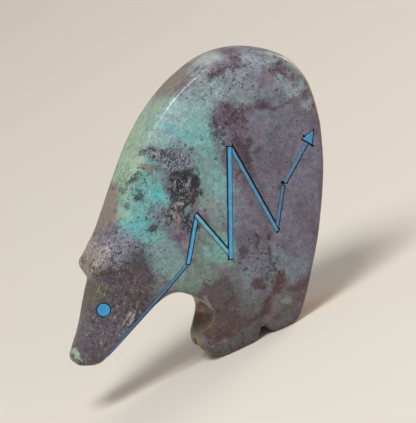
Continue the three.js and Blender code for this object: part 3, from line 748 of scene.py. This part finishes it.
    def speckled(self, colour):
        """Strews dark specks, crumbs and dots and pale flecks over the stone."""
        colours = self.colours
        thick = 0.18
        for at, half, turn, softness, amount in SPECKLED:
            thick = thick + self.patch(at, half, turn, softness, amount)
        fine = self.noise(self.shift(self.place, 2.2, 0.6), 2.3, 4, 0.65)
        crumbs = self.rise(fine + thick * 0.14, 0.655, 0.675)
        self.spots = self.rise(self.blots + thick * 0.16, 0.675, 0.695)
        self.dots = self.specks(self.shift(self.place, 2, 0.6), 1.5, 0.3, 0.3)
        flecks = self.specks(self.shift(self.place, 1.6, 0.6), 1.9, 0.3, 0.2)
        colour = self.mix(self.spots * 0.8, colour, self.mix(self.grain, colours.black, colours.dark_slate))
        colour = self.mix(crumbs * 0.62, colour, colours.dark_slate)
        colour = self.mix(self.dots * 0.55, colour, colours.dark_plum)
        return self.mix(flecks * 0.3, colour, colours.cream)

    def polish(self, colour):
        """Gives the surface its colour, its relief and its shine."""
        self.surface("Base Color", colour)
        self.surface("Roughness", 0.3 + 0.2 * self.mottle + self.spots * 0.15)
        relief = (self.grain * 0.25 + self.mottle * 0.5 - self.spots * 0.5 - self.dots * 0.5
                  + self.rough * self.head * 1.2)
        self.bump(relief, 0.45, 0.1 * MM)
        self.surface("Specular IOR Level", 0.3)
        self.surface("Coat Weight", 0.08 + self.patch((4, -6, 49.6), (7, 5, 7), 0, 3, 0.6))
        self.surface("Coat Roughness", 0.14)


def inlay_finish(name, colour, colours):
    """A cut and polished blue stone: even in colour, with a few paler and darker clouds."""
    finish = Finish(name)
    cloud = finish.noise(finish.shift(finish.place, 0.8, 1), 0.9, 3, 0.6)
    shade = finish.ramp(cloud, (0.3, (0.78,) * 3), (0.5, (1,) * 3), (0.72, (1.18,) * 3))
    tone = finish.mix(1, colour, shade, blend="MULTIPLY")
    scratch = finish.noise(finish.place, 5, 3, 0.7)
    tone = finish.mix(finish.rise(scratch, 0.62, 0.72) * 0.35, tone, colours.glue)
    finish.surface("Base Color", tone)
    finish.surface("Roughness", 0.24 + 0.2 * cloud)
    finish.bump(scratch, 0.25, 0.05 * MM)
    finish.surface("Coat Weight", 0.3)
    finish.surface("Coat Roughness", 0.15)
    return finish.material


def glue_finish(colours):
    """The dark glue in the channels, uneven and slightly shiny."""
    finish = Finish("Dark glue")
    lump = finish.noise(finish.place, 3, 3, 0.6)
    tone = finish.mix(finish.rise(lump, 0.45, 0.7) * 0.5, colours.glue, colours.dusty_glue)
    finish.surface("Base Color", tone)
    finish.surface("Roughness", 0.45 + 0.3 * lump)
    finish.bump(lump, 0.4, 0.08 * MM)
    return finish.material


def side_of(node):
    """The flank that a CAD node lies on."""
    low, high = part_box(node)
    return NEAR if low[1] + high[1] < 0 else FAR


def merged_copy(*nodes):
    """The meshes of CAD nodes in one, with their loose triangles joined up."""
    shape = bmesh.new()
    for node in nodes:
        shape.from_mesh(frame["nodes"][node].data)
    bmesh.ops.remove_doubles(shape, verts=shape.verts, dist=MERGE_DISTANCE)
    return shape


def object_of(shape, name):
    """A new object made of a bmesh, which is used up."""
    mesh = bpy.data.meshes.new(name)
    shape.to_mesh(mesh)
    shape.free()
    made = bpy.data.objects.new(name, mesh)
    bpy.context.scene.collection.objects.link(made)
    return made


def apply_modifiers(made):
    """Makes what the modifiers show the object's own mesh."""
    shown = made.evaluated_get(bpy.context.evaluated_depsgraph_get())
    finished = bpy.data.meshes.new_from_object(shown)
    made.modifiers.clear()
    made.data = finished


def remove(*objects):
    for made in objects:
        bpy.data.objects.remove(made)


def walls_at(vertex):
    """The distinct directions of the upright walls that meet at a vertex."""
    found = []
    for face in vertex.link_faces:
        new = all(face.normal.dot(other) < SAME_NORMAL for other in found)
        if new and abs(face.normal.y) < LEVEL_NORMAL:
            found.append(face.normal.copy())
    return found


def widen(shape, margin):
    """Moves the upright walls of a prism outward by a margin."""
    shape.normal_update()
    moves = []
    for vertex in shape.verts:
        walls = walls_at(vertex)
        if walls:
            first, last = walls[0], walls[-1]
            moves.append((vertex, margin * (first + last) / (1 + first.dot(last)) if len(walls) > 1
                          else margin * first))
    for vertex, move in moves:
        vertex.co += move


def channel_blank(node, margin, below):
    """The straight blank over the inner face of a CAD inlay, wider by a margin and deeper by some more."""
    side = side_of(node)
    shape = merged_copy(node)
    outer = [face for face in shape.faces if face.normal.y * side > INWARD_NORMAL]
    bmesh.ops.delete(shape, geom=outer, context="FACES")
    bmesh.ops.dissolve_limit(shape, angle_limit=FLOOR_ANGLE, verts=shape.verts, edges=shape.edges)
    bmesh.ops.translate(shape, vec=(0, -side * below, 0), verts=shape.verts)
    grown = bmesh.ops.extrude_face_region(shape, geom=shape.faces[:])
    moved = [part for part in grown["geom"] if isinstance(part, bmesh.types.BMVert)]
    bmesh.ops.translate(shape, vec=(0, side * CUT_REACH, 0), verts=moved)
    bmesh.ops.recalc_face_normals(shape, faces=shape.faces)
    if margin:
        widen(shape, margin)
    return shape


def shifted_channel(node, sizes):
    """The blank of an inlay's channel, with the room for its glue."""
    bar = node.split("_", 1)[1]
    width = sizes.glue_width * (THIN_SHARE if bar in THIN_GLUE else 1)
    shape = channel_blank(node, EYE_GLUE if node in EYES else width, sizes.glue_below)
    shift = GLUE_SHIFTS.get(bar, (0, 0))
    bmesh.ops.translate(shape, vec=(shift[0] * MM, 0, shift[1] * MM), verts=shape.verts)
    return shape


def saw_cut(node, start, end, width):
    """A short straight cut of the saw, as deep as the inlay beside it."""
    low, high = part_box(node)
    side = side_of(node)
    inner = high[1] if side == NEAR else low[1]
    line = Vector((end[0] - start[0], 0, end[1] - start[1])) * MM
    along = line.normalized()
    middle = Vector(((start[0] + end[0]) / 2 * MM, inner + side * CUT_REACH / 2,
                     (start[1] + end[1]) / 2 * MM))
    upright = Vector((0, 1, 0))
    axes = Matrix((along * line.length, upright * CUT_REACH, along.cross(upright) * width * MM))
    shape = bmesh.new()
    bmesh.ops.create_cube(shape, size=1, matrix=Matrix.Translation(middle) @ axes.transposed().to_4x4())
    return shape


def form_height(form, spot):
    """The height of one soft form at a spot of the side view, in millimetres."""
    start, end, half_width, height, section = form[1:]
    start = Vector(start)
    line = Vector(end) - start
    along = max(0.0, min(1.0, (spot - start).dot(line) / line.length_squared))
    away = (spot - start - along * line).length / half_width
    if away >= 1:
        return 0.0
    if section == "crease":
        return height * (1 - away) ** 2
    return height * (1 - away * away * (3 - 2 * away))


def sculpt(made, sizes):
    """Moves the stone's surface by the soft forms and by the waves that grinding leaves."""
    mesh = made.data
    normals = [vertex.normal.copy() for vertex in mesh.vertices]
    for vertex, normal in zip(mesh.vertices, normals):
        spot = Vector((vertex.co.x, vertex.co.z)) / MM
        side = NEAR if vertex.co.y < 0 else FAR
        on_flank = abs(normal.y)
        move = sum(form_height(form, spot) for form in FORMS if form[0] == side) * MM * on_flank
        for at, reach, height in FULLER:
            near = max(0.0, 1 - ((spot - Vector(at)).length / reach) ** 2)
            move += height * MM * near * (1 - on_flank)
        move += noise.noise(vertex.co / sizes.tool_width) * sizes.tool_height
        move += noise.noise(vertex.co / (sizes.tool_width / FINE_WAVES)) * sizes.tool_height * FINE_SHARE
        if vertex.co.z > SOLE_HEIGHT:
            vertex.co += normal * move
    mesh.update()


def smooth_stone(sizes):
    """The CAD stone with its sockets filled: one even mesh, worn smooth."""
    solid = merged_copy("bear")
    for node in ALL_INLAYS:
        plug = merged_copy(node)
        widen(plug, PLUG_SHARE * sizes.glue_width)
        spare = bpy.data.meshes.new("plug")
        plug.to_mesh(spare)
        plug.free()
        solid.from_mesh(spare)
        bpy.data.meshes.remove(spare)
    bear = object_of(solid, "carved_bear")
    grains = bear.modifiers.new("Even grains", "REMESH")
    grains.mode = "VOXEL"
    grains.voxel_size = sizes.grain_size
    worn = bear.modifiers.new("Worn smooth", "SMOOTH")
    worn.factor = WEAR_FACTOR
    worn.iterations = WEAR_ROUNDS
    apply_modifiers(bear)
    return bear


def cut_channels(bear, blanks):
    """Cuts blanks out of the stone, with the second of its materials on the cut."""
    cutters = bpy.data.collections.new("Channels")
    bpy.context.scene.collection.children.link(cutters)
    for blank in blanks:
        cutter = object_of(blank, "cutter")
        bpy.context.scene.collection.objects.unlink(cutter)
        cutters.objects.link(cutter)
        for polygon in cutter.data.polygons:
            polygon.material_index = 1
        cutter.data.materials.append(None)
        cutter.data.materials.append(None)
    cut = bear.modifiers.new("Channels", "BOOLEAN")
    cut.operation = "DIFFERENCE"
    cut.operand_type = "COLLECTION"
    cut.collection = cutters
    cut.solver = "EXACT"
    apply_modifiers(bear)
    remove(*cutters.objects)
    bpy.data.collections.remove(cutters)


class STONEBEAR_OT_carve(Operator):
    """Carve the bear: one smooth stone with its soft forms and the channels for the inlay"""
    bl_idname = "stonebear.carve"
    bl_label = "Carve the bear"

    def execute(self, context):
        sizes = context.scene.stonebear_carving
        bear = smooth_stone(sizes)
        sculpt(bear, sizes)
        whole = bpy.data.objects.new("whole_bear", bear.data.copy())
        context.scene.collection.objects.link(whole)
        bear.data.materials.append(StoneFinish(context.scene.stonebear_stone).material)
        bear.data.materials.append(glue_finish(context.scene.stonebear_inlay))
        blanks = [shifted_channel(node, sizes) for node in ALL_INLAYS]
        cut_channels(bear, blanks + [saw_cut(*cut) for cut in SAW_CUTS])
        bear.data.shade_smooth()
        bear.data.set_sharp_from_angle(angle=STONE_SHARP)
        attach(bear, "root")
        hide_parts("bear")
        return {"FINISHED"}


def shrink(mesh, share):
    """Makes a finished inlay smaller in the side view about its middle."""
    middle = sum((vertex.co for vertex in mesh.vertices), Vector()) / len(mesh.vertices)
    shape = bmesh.new()
    shape.from_mesh(mesh)
    bmesh.ops.scale(shape, vec=(share, 1, share), space=Matrix.Translation(-middle), verts=shape.verts)
    shape.to_mesh(mesh)
    shape.free()


def lay_inlay(node, material, share=1):
    """Cuts one inlay from its blank, so that its top is level with the stone around it."""
    piece = object_of(channel_blank(node, 0, 0), "inlay_" + node)
    fit = piece.modifiers.new("Level with the stone", "BOOLEAN")
    fit.operation = "INTERSECT"
    fit.object = bpy.data.objects["whole_bear"]
    fit.solver = "EXACT"
    apply_modifiers(piece)
    if not piece.data.vertices:
        raise RuntimeError("the cut of " + node + " came out empty")
    shrink(piece.data, share)
    piece.data.materials.clear()
    piece.data.materials.append(material)
    piece.data.shade_smooth()
    piece.data.set_sharp_from_angle(angle=INLAY_SHARP)
    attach(piece, "root")
    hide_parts(node)


class STONEBEAR_OT_heartlines(Operator):
    """Lay the heartlines: the bars from the mouth to the arrowhead on both flanks"""
    bl_idname = "stonebear.heartlines"
    bl_label = "Lay the heartlines"

    def execute(self, context):
        colours = context.scene.stonebear_inlay
        finishes = {}
        for tone in sorted(set(BAR_TONES.values())):
            name = colours.bl_rna.properties[tone].name + " inlay"
            finishes[tone] = inlay_finish(name, getattr(colours, tone), colours)
        for node in NEAR_INLAYS + FAR_INLAYS:
            bar = node.split("_", 1)[1]
            lay_inlay(node, finishes[BAR_TONES[bar]], ARROW_SHARE if bar == "arrowhead" else 1)
        return {"FINISHED"}


class STONEBEAR_OT_eyes(Operator):
    """Set the eyes into the head"""
    bl_idname = "stonebear.eyes"
    bl_label = "Set the eyes"

    def execute(self, context):
        colours = context.scene.stonebear_inlay
        tone = inlay_finish("Blue eye", colours.eye_blue, colours)
        for node in EYES:
            lay_inlay(node, tone, EYE_SHARE)
        remove(bpy.data.objects["whole_bear"])
        return {"FINISHED"}


def floor_finish(tone):
    finish = Finish("Pale floor")
    finish.surface("Base Color", tone)
    finish.surface("Roughness", 0.8)
    return finish.material


def softbox(name, place, width, height, power, tone):
    """A soft rectangular light that looks at the bear."""
    light = bpy.data.lights.new(name, "AREA")
    light.shape = "RECTANGLE"
    light.size = width
    light.size_y = height
    light.energy = power
    light.color = tone
    lamp = bpy.data.objects.new(name, light)
    lamp.location = place
    lamp.rotation_euler = (AIM - place).to_track_quat("-Z", "Y").to_euler()
    bpy.context.scene.collection.objects.link(lamp)


class STONEBEAR_OT_stage(Operator):
    """Set the stage: a pale floor, soft lights and the camera"""
    bl_idname = "stonebear.stage"
    bl_label = "Set the stage"

    def execute(self, context):
        sizes = context.scene.stonebear_studio
        shape = bmesh.new()
        bmesh.ops.create_circle(shape, cap_ends=True, segments=FLOOR_SIDES, radius=sizes.floor_width / 2)
        floor = object_of(shape, "floor")
        floor.data.materials.append(floor_finish(sizes.floor_tone))

        world = bpy.data.worlds.new("Pale studio")
        world.use_nodes = True
        world.node_tree.nodes["Background"].inputs["Color"].default_value = WORLD_TONE
        world.node_tree.nodes["Background"].inputs["Strength"].default_value = WORLD_STRENGTH
        context.scene.world = world
        context.scene.view_settings.view_transform = "Standard"

        toward = Vector((math.sin(sizes.azimuth) * math.cos(sizes.elevation),
                         -math.cos(sizes.azimuth) * math.cos(sizes.elevation), math.sin(sizes.elevation)))
        level = Vector((math.cos(sizes.azimuth), math.sin(sizes.azimuth), 0))
        upright = toward.cross(level)
        right = level * math.cos(sizes.roll) - upright * math.sin(sizes.roll)
        up = level * math.sin(sizes.roll) + upright * math.cos(sizes.roll)

        camera = bpy.data.cameras.new("camera")
        camera.lens = sizes.lens
        camera.sensor_width = SENSOR_WIDTH
        camera.clip_start = 0.01
        camera.clip_end = 10
        eye = bpy.data.objects.new("camera", camera)
        distance = sizes.view_height * camera.lens / camera.sensor_width
        turned = Matrix((right, up, toward)).transposed().to_4x4()
        eye.matrix_world = Matrix.Translation(AIM + toward * distance) @ turned
        context.scene.collection.objects.link(eye)
        context.scene.camera = eye

        axes = {"camera": (right, up, toward), "room": Matrix.Identity(3)}
        for name, kind, direction, away, width, height, power, tone in LIGHTS:
            way = sum((share * axis for share, axis in zip(direction, axes[kind])), Vector())
            softbox(name, AIM + way.normalized() * away, width, height, power, tone)
        return {"FINISHED"}


class STONEBEAR_PT_panel(Panel):
    """The steps that make the bear, and its colours and sizes"""
    bl_label = "Stone Bear"
    bl_idname = "STONEBEAR_PT_panel"
    bl_space_type = "VIEW_3D"
    bl_region_type = "UI"
    bl_category = "Stone Bear"

    def draw(self, context):
        layout = self.layout
        for step in STEPS:
            layout.operator(step.bl_idname)
        for group in GROUPS:
            box = layout.box()
            for name in GROUPS[group].__annotations__:
                box.prop(getattr(context.scene, group), name)


STEPS = (STONEBEAR_OT_carve, STONEBEAR_OT_heartlines, STONEBEAR_OT_eyes, STONEBEAR_OT_stage)
GROUPS = {
    "stonebear_stone": StoneColours,
    "stonebear_inlay": InlayColours,
    "stonebear_carving": CarvingSizes,
    "stonebear_studio": StudioSizes,
}


def register():
    for group in GROUPS:
        bpy.utils.register_class(GROUPS[group])
        setattr(bpy.types.Scene, group, PointerProperty(type=GROUPS[group]))
    for step in STEPS:
        bpy.utils.register_class(step)
    bpy.utils.register_class(STONEBEAR_PT_panel)


def unregister():
    bpy.utils.unregister_class(STONEBEAR_PT_panel)
    for step in reversed(STEPS):
        bpy.utils.unregister_class(step)
    for group in reversed(GROUPS):
        delattr(bpy.types.Scene, group)
        bpy.utils.unregister_class(GROUPS[group])


def main():
    register()
    bpy.ops.stonebear.carve()
    bpy.ops.stonebear.heartlines()
    bpy.ops.stonebear.eyes()
    bpy.ops.stonebear.stage()


if __name__ == "__main__":
    main()
